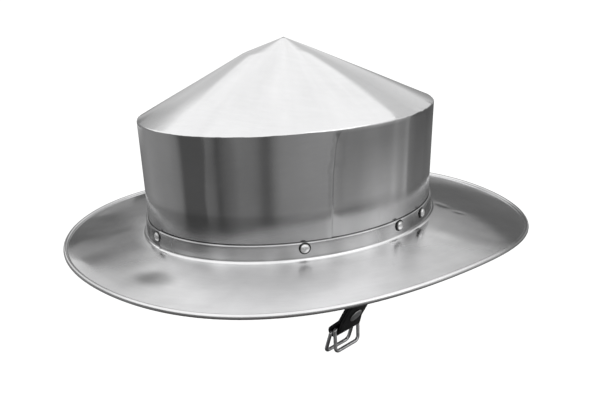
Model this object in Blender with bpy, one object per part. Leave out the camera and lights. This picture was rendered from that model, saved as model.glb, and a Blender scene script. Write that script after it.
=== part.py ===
# Kettle hat: a steel crown riveted into the upturned collar of a wide steel brim,
# with a leather chin strap in two halves, the left one ending in a buckle of two wire rings.
# Metres. +Z is up, the front of the hat faces -Y and the wearer's left is +X.
# The origin is the middle of the head opening, level with the lower rim of the crown.
import math

import bmesh
import bpy
from mathutils import Vector

# Sheet steel and the gap that loose pieces keep
SHEET = 0.0015
CLEARANCE = 0.0003
SEGMENTS = 72
CREASE_ANGLE = math.radians(35)

# Collar, the inner edge of the brim turned up round the crown
COLLAR_HALF_WIDTH = 0.1070
COLLAR_HALF_DEPTH = 0.1239
COLLAR_HEIGHT = 0.0100
COLLAR_BEND = 0.0030
COLLAR_BEND_STEPS = 4

# Crown: a nearly upright wall and a low cone with straight sides and a blunt tip.
# The sides rise towards a point in front of the middle, TIP_BLUNTING above the crown's height.
# At TIP_SHARE of the cone's width they bend to the tip, which lies nearly in the middle
CROWN_FLARE = 0.0003
CROWN_WALL_HEIGHT = 0.0847
CROWN_HEIGHT = 0.1383
CROWN_EDGE_RADIUS = 0.0016
CROWN_EDGE_STEPS = 2
CONE_FORWARD = 0.0085
TIP_SHARE = 0.24
TIP_BLUNTING = 0.0031
TIP_FORWARD = 0.0013

# Brim outline and the depth of its edge below the head opening
BRIM_HALF_WIDTH = 0.1771
BRIM_HALF_DEPTH = 0.1932
BRIM_BACK = 0.0092
BRIM_DROP = 0.0125
BRIM_DISH = 1.3
BRIM_RINGS = 5
BEAD_RADIUS = 0.0018
BEAD_RISE = 0.0004
BEAD_STEPS = 7
# Hand-made waviness of the brim's edge. Columns: lobes round the hat,
# outward swing as a share of the outline, downward swing as a share of BRIM_DROP
BRIM_WAVES = (
    (1, 0.0, -0.23),
    (2, 0.0, 0.16),
    (3, 0.0, 0.27),
    (4, -0.025, -0.09),
)

# Domed rivets. Angles run from the front towards the wearer's left
COLLAR_RIVET_ANGLES = (-9.5, 52.0, 106.0, 168.0, 230.0, 290.5)
STRAP_RIVET_ANGLES = {"left": 90.0, "right": 270.0}
RIVET_HEIGHT = 0.0062
RIVET_HEAD_RADIUS = 0.0035
RIVET_DOME = 0.0024
RIVET_DOME_RINGS = (65, 35)
RIVET_SHANK_RADIUS = 0.0016
RIVET_TAIL_RADIUS = 0.0027
RIVET_TAIL_THICKNESS = 0.0008
RIVET_TAIL_TAPER = 0.85
RIVET_SIDES = 12
DRILL_REACH = 0.0160

# Leather chin strap
LEATHER = 0.0024
STRAP_WIDTH = 0.0250
STRAP_TAB = 0.0085
STRAP_CORNER = 0.0030
STRAP_BEND_DROP = 0.0115
STRAP_BEND_RADIUS = 0.0200
STRAP_BEND_STEPS = 5
STRAP_LEAN = math.radians(30)
STRAP_SLANT = 0.0760
LAYER_GAP = 0.0004
FOLD_RETURN = 0.0220
EYE_CLEARANCE = 0.0008
TONGUE_DROP = 0.1180
# Rounded end of the tongue strap: share of the end's length, share of the half width
TONGUE_TIP = ((0.0, 1.0), (0.5, 0.87), (0.85, 0.55), (1.0, 0.2))

# Rivet that closes the fold
FOLD_HEAD_RADIUS = 0.0062
FOLD_HEAD_HEIGHT = 0.0013
FOLD_HEAD_FLAT = 0.6
FOLD_TAIL_RADIUS = 0.0045
FOLD_TAIL_HEIGHT = 0.0009
FOLD_TAIL_TAPER = 0.8
FOLD_RIVET_SIDES = 24

# Buckle rings, and where their bars lie in the fold, measured down the strap from its rivet
# and inwards from the middle of the two layers
RING_WIRE_RADIUS = 0.0015
RING_SIDE_GAP = 0.0004
RING_LENGTH = 0.0200
RING_TOP_CORNER = 0.0025
RING_BOTTOM_CORNER = 0.0040
RING_SIDES = 10
RING_CORNER_STEPS = 4
OUTER_BAR_DROP = 0.0139
OUTER_BAR_INSET = 0.0003
INNER_BAR_DROP = 0.0193
INNER_BAR_INSET = 0.0022
INNER_RING_LEAN = math.radians(18.5)

CROWN_BASE_HALF_WIDTH = COLLAR_HALF_WIDTH - SHEET - CLEARANCE
CROWN_BASE_HALF_DEPTH = COLLAR_HALF_DEPTH - SHEET - CLEARANCE
CROWN_TOP_HALF_WIDTH = COLLAR_HALF_WIDTH + CROWN_FLARE
CROWN_TOP_HALF_DEPTH = COLLAR_HALF_DEPTH + CROWN_FLARE


def material(name, colour, roughness, metallic):
    made = bpy.data.materials.new(name)
    made.use_nodes = True
    shader = made.node_tree.nodes["Principled BSDF"]
    shader.inputs["Base Color"].default_value = (*colour, 1.0)
    shader.inputs["Roughness"].default_value = roughness
    shader.inputs["Metallic"].default_value = metallic
    return made


def add_object(name, mesh_source, finish):
    bmesh.ops.recalc_face_normals(mesh_source, faces=mesh_source.faces)
    mesh = bpy.data.meshes.new(name)
    mesh_source.to_mesh(mesh)
    mesh_source.free()
    mesh.materials.append(finish)
    mesh.shade_smooth()
    mesh.set_sharp_from_angle(angle=CREASE_ANGLE)
    made = bpy.data.objects.new(name, mesh)
    bpy.context.scene.collection.objects.link(made)
    return made


def turns(count):
    return [2 * math.pi * step / count for step in range(count)]


def oval(angle, half_width, half_depth, height):
    return Vector((half_width * math.sin(angle), -half_depth * math.cos(angle), height))


def oval_outward(angle, half_width, half_depth):
    return Vector((half_depth * math.sin(angle), -half_width * math.cos(angle), 0)).normalized()


def add_ring(target, points):
    return [target.verts.new(point) for point in points]


def bridge(target, first, second):
    count = len(first)
    for index in range(count):
        after = (index + 1) % count
        target.faces.new((first[index], first[after], second[after], second[index]))


def cap_to_point(target, ring, point):
    tip = target.verts.new(point)
    count = len(ring)
    for index in range(count):
        target.faces.new((ring[index], ring[(index + 1) % count], tip))


# Crown

def cone_ring(target, share):
    # share is 1 at the edge of the cone and would be 0 where its straight sides meet
    meeting = Vector((0, -CONE_FORWARD, CROWN_HEIGHT + TIP_BLUNTING))
    top = (CROWN_TOP_HALF_WIDTH, CROWN_TOP_HALF_DEPTH, CROWN_WALL_HEIGHT)
    return add_ring(target, [meeting.lerp(oval(angle, *top), share) for angle in turns(SEGMENTS)])


def make_crown(finish, cutter):
    shell = bmesh.new()
    angles = turns(SEGMENTS)
    base = (CROWN_BASE_HALF_WIDTH, CROWN_BASE_HALF_DEPTH)
    above_collar = COLLAR_HEIGHT + SHEET
    lower = add_ring(shell, [oval(a, *base, 0) for a in angles])
    straight = add_ring(shell, [oval(a, *base, above_collar) for a in angles])
    top = cone_ring(shell, 1)
    tip_ring = cone_ring(shell, TIP_SHARE)
    bridge(shell, lower, straight)
    bridge(shell, straight, top)
    bridge(shell, top, tip_ring)
    cap_to_point(shell, tip_ring, Vector((0, -TIP_FORWARD, CROWN_HEIGHT)))
    edge = [e for e in shell.edges if all(v in set(top) for v in e.verts)]
    bmesh.ops.bevel(
        shell, geom=edge, offset=CROWN_EDGE_RADIUS, segments=CROWN_EDGE_STEPS, profile=0.5, affect="EDGES")
    crown = add_object("crown", shell, finish)
    wall = crown.modifiers.new("wall", "SOLIDIFY")
    wall.thickness = SHEET
    wall.offset = -1
    wall.use_even_offset = True
    drill(crown, cutter)
    return crown


# Brim

def brim_edge(angle):
    outward = 1 + sum(swing * math.cos(lobes * angle) for lobes, swing, _ in BRIM_WAVES)
    drop = 1 + sum(swing * math.cos(lobes * angle) for lobes, _, swing in BRIM_WAVES)
    point = oval(angle, BRIM_HALF_WIDTH * outward, BRIM_HALF_DEPTH * outward, -BRIM_DROP * drop)
    point.y += BRIM_BACK
    return point


def brim_section(angle):
    # The upper side of the brim at one angle, from the collar's top edge to the bead,
    # then the middle of the bead and the direction from the collar towards it
    collar = oval(angle, COLLAR_HALF_WIDTH, COLLAR_HALF_DEPTH, 0)
    outward = oval_outward(angle, COLLAR_HALF_WIDTH, COLLAR_HALF_DEPTH)
    points = [collar + Vector((0, 0, COLLAR_HEIGHT))]
    for step in range(COLLAR_BEND_STEPS + 1):
        turn = math.radians(90) * step / COLLAR_BEND_STEPS
        along = COLLAR_BEND * (1 - math.cos(turn))
        points.append(collar + outward * along - Vector((0, 0, COLLAR_BEND * math.sin(turn))))
    start = points[-1]
    edge = brim_edge(angle)
    way = Vector((edge.x - start.x, edge.y - start.y, 0)).normalized()
    bead = edge - way * BEAD_RADIUS
    lift = SHEET / 2 - BEAD_RISE
    finish = bead - way * math.sqrt(BEAD_RADIUS ** 2 - lift ** 2) + Vector((0, 0, lift))
    for step in range(1, BRIM_RINGS + 1):
        share = step / BRIM_RINGS
        point = start.lerp(finish, share)
        point.z = start.z + (finish.z - start.z) * share ** BRIM_DISH
        points.append(point)
    return points, bead, way


def offset_rings(rings, distance):
    # The same rings, moved to the back of a sheet of the given thickness
    shell = bmesh.new()
    made = [add_ring(shell, ring) for ring in rings]
    for first, second in zip(made, made[1:]):
        bridge(shell, first, second)
    shell.normal_update()
    towards_axis = made[0][0].normal.dot(made[0][0].co) < 0
    side = 1 if towards_axis else -1
    moved = []
    for ring in made:
        moved.append([v.co + v.normal * side * distance * v.calc_shell_factor() for v in ring])
    shell.free()
    return moved


def make_brim(finish, cutter):
    sections = [brim_section(angle) for angle in turns(SEGMENTS)]
    upper = [list(ring) for ring in zip(*[points for points, _, _ in sections])]
    lower = offset_rings(upper, SHEET)
    lift = SHEET / 2 - BEAD_RISE
    start = math.pi - math.asin(lift / BEAD_RADIUS)
    finish_turn = -math.pi + math.asin((SHEET - lift) / BEAD_RADIUS)
    bead = []
    for step in range(1, BEAD_STEPS + 1):
        turn = start + (finish_turn - start) * step / (BEAD_STEPS + 1)
        reach = BEAD_RADIUS * math.cos(turn)
        height = BEAD_RADIUS * math.sin(turn)
        bead.append([middle + way * reach + Vector((0, 0, height)) for _, middle, way in sections])
    shell = bmesh.new()
    rings = [add_ring(shell, ring) for ring in upper + bead + lower[::-1]]
    for first, second in zip(rings, rings[1:] + rings[:1]):
        bridge(shell, first, second)
    brim = add_object("brim", shell, finish)
    drill(brim, cutter)
    return brim


# Rivets and their holes

def turned(target, profile, origin, axis, across, sides):
    # A solid turned about axis. Profile rows are (distance along the axis, radius)
    other = axis.cross(across)
    rings = []
    for along, radius in profile[1:-1]:
        points = []
        for turn in turns(sides):
            spoke = across * math.cos(turn) + other * math.sin(turn)
            points.append(origin + axis * along + spoke * radius)
        rings.append(add_ring(target, points))
    for first, second in zip(rings, rings[1:]):
        bridge(target, first, second)
    cap_to_point(target, rings[0], origin + axis * profile[0][0])
    cap_to_point(target, rings[-1], origin + axis * profile[-1][0])


def rivet_place(degrees):
    angle = math.radians(degrees)
    seat = oval(angle, COLLAR_HALF_WIDTH, COLLAR_HALF_DEPTH, RIVET_HEIGHT)
    return seat, oval_outward(angle, COLLAR_HALF_WIDTH, COLLAR_HALF_DEPTH)


def make_rivet(name, degrees, grip, finish):
    # A domed head on the collar, a shank of the given grip and a flat tail inside the crown
    seat, outward = rivet_place(degrees)
    base = CLEARANCE
    tail = -grip - CLEARANCE
    profile = [(base + RIVET_DOME, 0)]
    for turn in RIVET_DOME_RINGS:
        height = RIVET_DOME * math.sin(math.radians(turn))
        profile.append((base + height, RIVET_HEAD_RADIUS * math.cos(math.radians(turn))))
    profile += [
        (base, RIVET_HEAD_RADIUS),
        (base, RIVET_SHANK_RADIUS),
        (tail, RIVET_SHANK_RADIUS),
        (tail, RIVET_TAIL_RADIUS),
        (tail - RIVET_TAIL_THICKNESS, RIVET_TAIL_RADIUS * RIVET_TAIL_TAPER),
        (tail - RIVET_TAIL_THICKNESS, 0),
    ]
    solid = bmesh.new()
    turned(solid, profile, Vector(), outward, Vector((0, 0, 1)), RIVET_SIDES)
    rivet = add_object(name, solid, finish)
    rivet.location = seat
    return rivet


def make_cutter(name, places, radius, reach):
    # Drills of one radius through each (point, direction) of places
    solid = bmesh.new()
    for point, axis in places:
        across = axis.orthogonal().normalized() if axis.z else Vector((0, 0, 1))
        profile = [(reach, 0), (reach, radius), (-reach, radius), (-reach, 0)]
        turned(solid, profile, point, axis, across, RIVET_SIDES)
    cutter = add_object(name, solid, bpy.data.materials["cutter"])
    cutter.hide_render = True
    cutter.display_type = "WIRE"
    return cutter


def drill(piece, cutter):
    hole = piece.modifiers.new("holes", "BOOLEAN")
    hole.operation = "DIFFERENCE"
    hole.object = cutter


# Chin strap. A path is a list of (x, z) points in the plane y = 0

def strap_seat():
    # How far from the middle the strap's outer face lies, inside the curved crown wall
    inner_width = CROWN_BASE_HALF_WIDTH - SHEET
    inner_depth = CROWN_BASE_HALF_DEPTH - SHEET
    squeeze = math.sqrt(1 - (STRAP_WIDTH / 2 / inner_depth) ** 2)
    facet = inner_width * (1 - math.cos(math.pi / SEGMENTS))
    return inner_width * squeeze - facet - CLEARANCE


def strap_frame():
    # The middle between the fold's two layers at the rivet, the way down the strap
    # and the way out of its outer face, all as (x, z)
    corner = Vector((strap_seat() - LEATHER / 2, -STRAP_BEND_DROP))
    down = Vector((-math.sin(STRAP_LEAN), -math.cos(STRAP_LEAN)))
    out = Vector((math.cos(STRAP_LEAN), -math.sin(STRAP_LEAN)))
    middle = corner + down * STRAP_SLANT - out * (LEATHER + LAYER_GAP) / 2
    return middle, down, out


def bar_place(drop, inset):
    middle, down, out = strap_frame()
    return middle + down * drop - out * inset


def tab_top():
    return Vector((strap_seat() - LEATHER / 2, RIVET_HEIGHT + STRAP_TAB))


def slanted_start():
    # The tab and the bend that turns it inwards
    top = tab_top()
    tangent = STRAP_BEND_RADIUS * math.tan(STRAP_LEAN / 2)
    bend_top = Vector((top.x, tangent - STRAP_BEND_DROP))
    centre = bend_top - Vector((STRAP_BEND_RADIUS, 0))
    path = [top, top - Vector((0, STRAP_CORNER)), Vector((top.x, 0))]
    for step in range(STRAP_BEND_STEPS + 1):
        turn = STRAP_LEAN * step / STRAP_BEND_STEPS
        arm = Vector((math.cos(turn), -math.sin(turn)))
        path.append(centre + arm * STRAP_BEND_RADIUS)
    return path


def left_of(turn):
    return Vector((-math.sin(turn), math.cos(turn)))


def arc(centre, radius, first, last, steps):
    # Points on a circle while the travel direction swings from first to last
    turns_taken = [first + (last - first) * step / steps for step in range(steps + 1)]
    return [centre + left_of(turn) * radius for turn in turns_taken]


def fold_loop():
    # The belt round both bars, as (down from the rivet, out of the middle)
    layer = (LEATHER + LAYER_GAP) / 2
    radius = RING_WIRE_RADIUS + EYE_CLEARANCE + LEATHER / 2
    pinch = FOLD_HEAD_RADIUS + CLEARANCE
    entry = Vector((pinch, layer))
    leave = Vector((pinch, -layer))
    outer_bar = Vector((OUTER_BAR_DROP, -OUTER_BAR_INSET))
    inner_bar = Vector((INNER_BAR_DROP, -INNER_BAR_INSET))
    to_outer = outer_bar - entry
    first = math.atan2(to_outer.y, to_outer.x) + math.asin(radius / to_outer.length)
    between = inner_bar - outer_bar
    second = math.atan2(between.y, between.x)
    back = leave - inner_bar
    third = math.atan2(back.y, back.x) - math.asin(radius / back.length)
    if third > second:
        third -= 2 * math.pi
    path = [Vector((0, layer)), entry]
    path += arc(outer_bar, radius, first, second, 4)
    path += arc(inner_bar, radius, second, third, 9)
    path += [leave, Vector((0, -layer)), Vector((-FOLD_RETURN, -layer))]
    return path


def buckle_path():
    middle, down, out = strap_frame()
    folded = [middle + down * point.x + out * point.y for point in fold_loop()]
    return slanted_start() + folded


def tongue_path():
    top = tab_top()
    path = [top, top - Vector((0, STRAP_CORNER)), Vector((top.x, 0))]
    tip = STRAP_WIDTH / 2
    path += [Vector((top.x, tip - TONGUE_DROP - tip * share)) for share, _ in TONGUE_TIP]
    return path


def strap_solid(name, path, half_widths, side, finish):
    # A leather strip along path. Side is 1 on the wearer's left and -1 on the right
    strip = bmesh.new()
    rings = []
    for index, point in enumerate(path):
        before = path[max(index - 1, 0)]
        after = path[min(index + 1, len(path) - 1)]
        ahead = (after - point).normalized() if after != point else (point - before).normalized()
        behind = (point - before).normalized() if before != point else ahead
        mitre = (ahead + behind).normalized()
        normal = Vector((mitre.y, -mitre.x)) * (LEATHER / 2 / mitre.dot(ahead))
        half = half_widths[index]
        corners = []
        for lane, across in ((point + normal, -half), (point + normal, half),
                             (point - normal, half), (point - normal, -half)):
            corners.append(Vector((side * lane.x, across, lane.y)))
        rings.append(add_ring(strip, corners))
    for first, second in zip(rings, rings[1:]):
        bridge(strip, first, second)
    strip.faces.new(rings[0])
    strip.faces.new(rings[-1])
    return add_object(name, strip, finish)


def make_straps(finish, rivet_cutter, fold_cutter):
    half = STRAP_WIDTH / 2
    path = buckle_path()
    widths = [half - STRAP_CORNER] + [half] * (len(path) - 1)
    buckle_strap = strap_solid("buckle_strap", path, widths, 1, finish)
    drill(buckle_strap, rivet_cutter)
    drill(buckle_strap, fold_cutter)
    path = tongue_path()
    widths = [half - STRAP_CORNER, half, half] + [half * share for _, share in TONGUE_TIP]
    tongue_strap = strap_solid("tongue_strap", path, widths, -1, finish)
    drill(tongue_strap, rivet_cutter)


def make_fold_rivet(finish):
    middle, _, out = strap_frame()
    outward = Vector((out.x, 0, out.y))
    face = LEATHER + LAYER_GAP / 2 + CLEARANCE
    profile = [
        (face + FOLD_HEAD_HEIGHT, 0),
        (face + FOLD_HEAD_HEIGHT, FOLD_HEAD_RADIUS * FOLD_HEAD_FLAT),
        (face + FOLD_HEAD_HEIGHT / 2, FOLD_HEAD_RADIUS),
        (face, FOLD_HEAD_RADIUS),
        (face, RIVET_SHANK_RADIUS),
        (-face, RIVET_SHANK_RADIUS),
        (-face, FOLD_TAIL_RADIUS),
        (-face - FOLD_TAIL_HEIGHT, FOLD_TAIL_RADIUS * FOLD_TAIL_TAPER),
        (-face - FOLD_TAIL_HEIGHT, 0),
    ]
    solid = bmesh.new()
    turned(solid, profile, Vector(), outward, Vector((0, 1, 0)), FOLD_RIVET_SIDES)
    rivet = add_object("fold_rivet", solid, finish)
    rivet.location = (middle.x, 0, middle.y)


# Buckle rings

def ring_route():
    # Middle line of a ring as (across, down from its bar), with round corners
    half = STRAP_WIDTH / 2 + RING_SIDE_GAP + RING_WIRE_RADIUS
    corners = (
        (half - RING_TOP_CORNER, RING_TOP_CORNER, RING_TOP_CORNER, -90),
        (half - RING_BOTTOM_CORNER, RING_LENGTH - RING_BOTTOM_CORNER, RING_BOTTOM_CORNER, 0),
        (RING_BOTTOM_CORNER - half, RING_LENGTH - RING_BOTTOM_CORNER, RING_BOTTOM_CORNER, 90),
        (RING_TOP_CORNER - half, RING_TOP_CORNER, RING_TOP_CORNER, 180),
    )
    route = []
    for across, down, radius, start in corners:
        for step in range(RING_CORNER_STEPS + 1):
            turn = math.radians(start + 90 * step / RING_CORNER_STEPS)
            route.append((Vector((across, down)), Vector((math.cos(turn), math.sin(turn))), radius))
    return route


def make_ring(name, bar, lean, finish):
    # A wire ring that hangs from its bar, leaning inwards, with its origin on the bar's axis
    wire = bmesh.new()
    rings = []
    for centre, spoke, radius in ring_route():
        points = []
        for turn in turns(RING_SIDES):
            flat = centre + spoke * (radius + RING_WIRE_RADIUS * math.cos(turn))
            points.append(Vector((RING_WIRE_RADIUS * math.sin(turn), flat.x, -flat.y)))
        rings.append(add_ring(wire, points))
    for first, second in zip(rings, rings[1:] + rings[:1]):
        bridge(wire, first, second)
    ring = add_object(name, wire, finish)
    ring.location = (bar.x, 0, bar.y)
    ring.rotation_euler = (0, lean, 0)
    return ring


def make_hat():
    for old in list(bpy.data.objects):
        bpy.data.objects.remove(old, do_unlink=True)
    steel = material("polished_steel", (0.62, 0.62, 0.63), 0.28, 1.0)
    rivet_steel = material("rivet_steel", (0.66, 0.66, 0.67), 0.3, 1.0)
    ring_steel = material("ring_steel", (0.6, 0.6, 0.61), 0.25, 1.0)
    leather = material("black_leather", (0.02, 0.02, 0.022), 0.55, 0.0)
    material("cutter", (0.8, 0.2, 0.2), 0.5, 0.0)

    rivet_angles = list(COLLAR_RIVET_ANGLES) + list(STRAP_RIVET_ANGLES.values())
    hole = RIVET_SHANK_RADIUS + CLEARANCE
    rivet_cutter = make_cutter("rivet_holes", [rivet_place(a) for a in rivet_angles], hole, DRILL_REACH)
    middle, _, out = strap_frame()
    fold_place = [(Vector((middle.x, 0, middle.y)), Vector((out.x, 0, out.y)))]
    fold_cutter = make_cutter("fold_hole", fold_place, hole, 2 * LEATHER + LAYER_GAP)

    make_crown(steel, rivet_cutter)
    make_brim(steel, rivet_cutter)
    grip = 2 * SHEET + CLEARANCE
    for number, degrees in enumerate(COLLAR_RIVET_ANGLES, 1):
        make_rivet(f"collar_rivet_{number}", degrees, grip, rivet_steel)
    strap_grip = COLLAR_HALF_WIDTH - strap_seat() + LEATHER
    for side, degrees in STRAP_RIVET_ANGLES.items():
        make_rivet(f"strap_rivet_{side}", degrees, strap_grip, rivet_steel)
    make_straps(leather, rivet_cutter, fold_cutter)
    make_fold_rivet(ring_steel)
    make_ring("ring_outer", bar_place(OUTER_BAR_DROP, OUTER_BAR_INSET), 0, ring_steel)
    make_ring("ring_inner", bar_place(INNER_BAR_DROP, INNER_BAR_INSET), INNER_RING_LEAN, ring_steel)


make_hat()
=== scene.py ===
# Kettle hat: polished steel crown and brim, domed rivets and a leather chin strap with two wire rings.
# The front of the hat faces -Y, the wearer's left is +X, and every length is in metres.
import math

import bpy
from mathutils import Matrix, Vector, noise


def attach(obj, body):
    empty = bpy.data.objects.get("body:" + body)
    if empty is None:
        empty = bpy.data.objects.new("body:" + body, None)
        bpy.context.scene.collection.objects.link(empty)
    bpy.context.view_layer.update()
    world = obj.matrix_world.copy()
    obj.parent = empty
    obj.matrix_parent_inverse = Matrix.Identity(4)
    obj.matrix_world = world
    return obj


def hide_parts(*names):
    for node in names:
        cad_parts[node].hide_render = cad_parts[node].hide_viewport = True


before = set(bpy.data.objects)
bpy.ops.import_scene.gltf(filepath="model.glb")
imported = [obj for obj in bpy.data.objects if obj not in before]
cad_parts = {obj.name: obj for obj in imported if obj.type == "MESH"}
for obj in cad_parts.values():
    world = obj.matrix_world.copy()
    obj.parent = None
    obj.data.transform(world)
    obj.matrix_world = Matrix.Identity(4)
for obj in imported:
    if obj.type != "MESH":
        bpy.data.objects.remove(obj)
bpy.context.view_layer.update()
print("frame loaded")


# Small helpers

def clamp(value):
    return min(1, max(0, value))


def valueAt(table, place):
    # a value from rows of (place, value), straight between the rows
    if place <= table[0][0]:
        return table[0][1]
    for (start, first), (end, last) in zip(table, table[1:]):
        if place <= end:
            return first + (last - first) * (place - start) / (end - start)
    return table[-1][1]


def editMode():
    bpy.ops.object.mode_set(mode="EDIT")


def objectMode():
    bpy.ops.object.mode_set(mode="OBJECT")


def clearSelection():
    if bpy.context.object and bpy.context.object.mode != "OBJECT":
        objectMode()
    bpy.ops.object.select_all(action="DESELECT")


def pickOnly(piece):
    clearSelection()
    piece.select_set(True)
    bpy.context.view_layer.objects.active = piece


def newPiece(name):
    piece = bpy.context.object
    piece.name = piece.data.name = name
    return piece


def pullRings(name, rows, points):
    # a circle pulled through rows of (half width, half depth, centre y, height), ring after ring
    clearSelection()
    bpy.ops.mesh.primitive_circle_add(vertices=points, radius=1, fill_type="NOTHING")
    piece = newPiece(name)
    editMode()
    bpy.ops.mesh.select_all(action="SELECT")
    width, depth, middle, height = rows[0]
    bpy.ops.transform.resize(value=(width, depth, 1), center_override=(0, 0, 0))
    bpy.ops.transform.translate(value=(0, middle, height))
    for newWidth, newDepth, newMiddle, newHeight in rows[1:]:
        bpy.ops.mesh.extrude_edges_move()
        bpy.ops.transform.resize(
            value=(newWidth / width, newDepth / depth, 1), center_override=(0, middle, height))
        bpy.ops.transform.translate(value=(0, newMiddle - middle, newHeight - height))
        width, depth, middle, height = newWidth, newDepth, newMiddle, newHeight
    return piece


def pickEdges(piece, numbers):
    # only the edges between the points with these numbers, in edit mode
    editMode()
    bpy.ops.mesh.select_mode(type="EDGE")
    bpy.ops.mesh.select_all(action="DESELECT")
    objectMode()
    for edge in piece.data.edges:
        edge.select = edge.vertices[0] in numbers and edge.vertices[1] in numbers
    editMode()


def outwardFaces():
    bpy.ops.mesh.select_all(action="SELECT")
    bpy.ops.mesh.remove_doubles(threshold=0.000005)
    bpy.ops.mesh.normals_make_consistent(inside=False)


def applyModifier(piece, kind, **values):
    pickOnly(piece)
    modifier = piece.modifiers.new(kind.lower(), kind)
    for key, value in values.items():
        setattr(modifier, key, value)
    bpy.ops.object.modifier_apply(modifier=modifier.name)


def smoothShade(piece, degrees=40):
    pickOnly(piece)
    bpy.ops.object.shade_smooth_by_angle(angle=math.radians(degrees))


def dress(piece, body, slotName, material, *nodes):
    piece.data.materials.clear()
    piece.data.materials.append(material)
    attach(piece, body)
    if nodes:
        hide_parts(*nodes)


# Materials

class Shading:
    # a material with its node tree, and short ways to add nodes to it
    def __init__(self, name):
        self.material = bpy.data.materials.new(name)
        self.material.use_nodes = True
        self.tree = self.material.node_tree
        self.shader = self.tree.nodes["Principled BSDF"]
        self.coordinates = self.tree.nodes.new("ShaderNodeTexCoord").outputs["Object"]

    def put(self, socket, value):
        if isinstance(value, bpy.types.NodeSocket):
            self.tree.links.new(value, socket)
        else:
            socket.default_value = value

    def give(self, name, value):
        self.put(self.shader.inputs[name], value)

    def math(self, operation, first, second=0.0):
        node = self.tree.nodes.new("ShaderNodeMath")
        node.operation = operation
        self.put(node.inputs[0], first)
        self.put(node.inputs[1], second)
        return node.outputs[0]

    def split(self, vector):
        node = self.tree.nodes.new("ShaderNodeSeparateXYZ")
        self.put(node.inputs[0], vector)
        return node.outputs

    def join(self, x, y, z):
        node = self.tree.nodes.new("ShaderNodeCombineXYZ")
        for socket, value in zip(node.inputs, (x, y, z)):
            self.put(socket, value)
        return node.outputs[0]

    def noise(self, vector, scale, detail=3.0, rough=0.55):
        node = self.tree.nodes.new("ShaderNodeTexNoise")
        self.put(node.inputs["Vector"], vector)
        node.inputs["Scale"].default_value = scale
        node.inputs["Detail"].default_value = detail
        node.inputs["Roughness"].default_value = rough
        return node.outputs["Fac"]

    def stretch(self, value, low, high, newLow, newHigh):
        node = self.tree.nodes.new("ShaderNodeMapRange")
        node.inputs["From Min"].default_value = low
        node.inputs["From Max"].default_value = high
        node.inputs["To Min"].default_value = newLow
        node.inputs["To Max"].default_value = newHigh
        self.put(node.inputs["Value"], value)
        return node.outputs["Result"]

    def tint(self, share, first, second):
        # from one colour to another, each a socket or (red, green, blue)
        node = self.tree.nodes.new("ShaderNodeMix")
        node.data_type = "RGBA"
        self.put(node.inputs["Factor"], share)
        for name, colour in (("A", first), ("B", second)):
            self.put(node.inputs[name], (*colour, 1) if isinstance(colour, tuple) else colour)
        return node.outputs["Result"]

    def attribute(self, name):
        node = self.tree.nodes.new("ShaderNodeAttribute")
        node.attribute_name = name
        return node.outputs["Fac"]

    def bump(self, height, strength, distance):
        node = self.tree.nodes.new("ShaderNodeBump")
        node.inputs["Strength"].default_value = strength
        node.inputs["Distance"].default_value = distance
        self.put(node.inputs["Height"], height)
        self.give("Normal", node.outputs["Normal"])


crownLook = {
    "dark": (0.72, 0.72, 0.725),
    "light": (0.81, 0.81, 0.815),
    "roughness": (0.08, 0.15),
    "streaks": 4.3,
    "streakDrift": 6.0,
    "clouds": 22.0,
    "grain": 900.0,
    "scratches": 620.0,
    "bumpDepth": 0.00004,
    # the colour of stains and painted shade, and the height of the painted corner shade
    "grimeAndShade": (0.06, 0.06, 0.06),
    "cornerShadeAndDirtHeight": 0.0102,
    "dullWay": (0, 0, -1),
    "dullReach": (-0.034, -0.018),
    "dullness": 0.11,
}
# the brim's tones are a little lighter than the crown's: painted light for the brighter look of its upturned
# face
brimLook = {
    "dark": (0.74, 0.74, 0.745),
    "light": (0.88, 0.88, 0.885),
    "roughness": (0.11, 0.17),
    "streaks": 5.0,
    "streakDrift": 9.0,
    "clouds": 22.0,
    "grain": 700.0,
    "scratches": 380.0,
    "bumpDepth": 0.00005,
    "grimeAndShade": (0.06, 0.06, 0.06),
    "cornerShadeAndDirtHeight": -0.1,
    "dullWay": (0.7, -0.71, 0),
    "dullReach": (0.07, 0.1),
    "dullness": 0.19,
}


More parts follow.
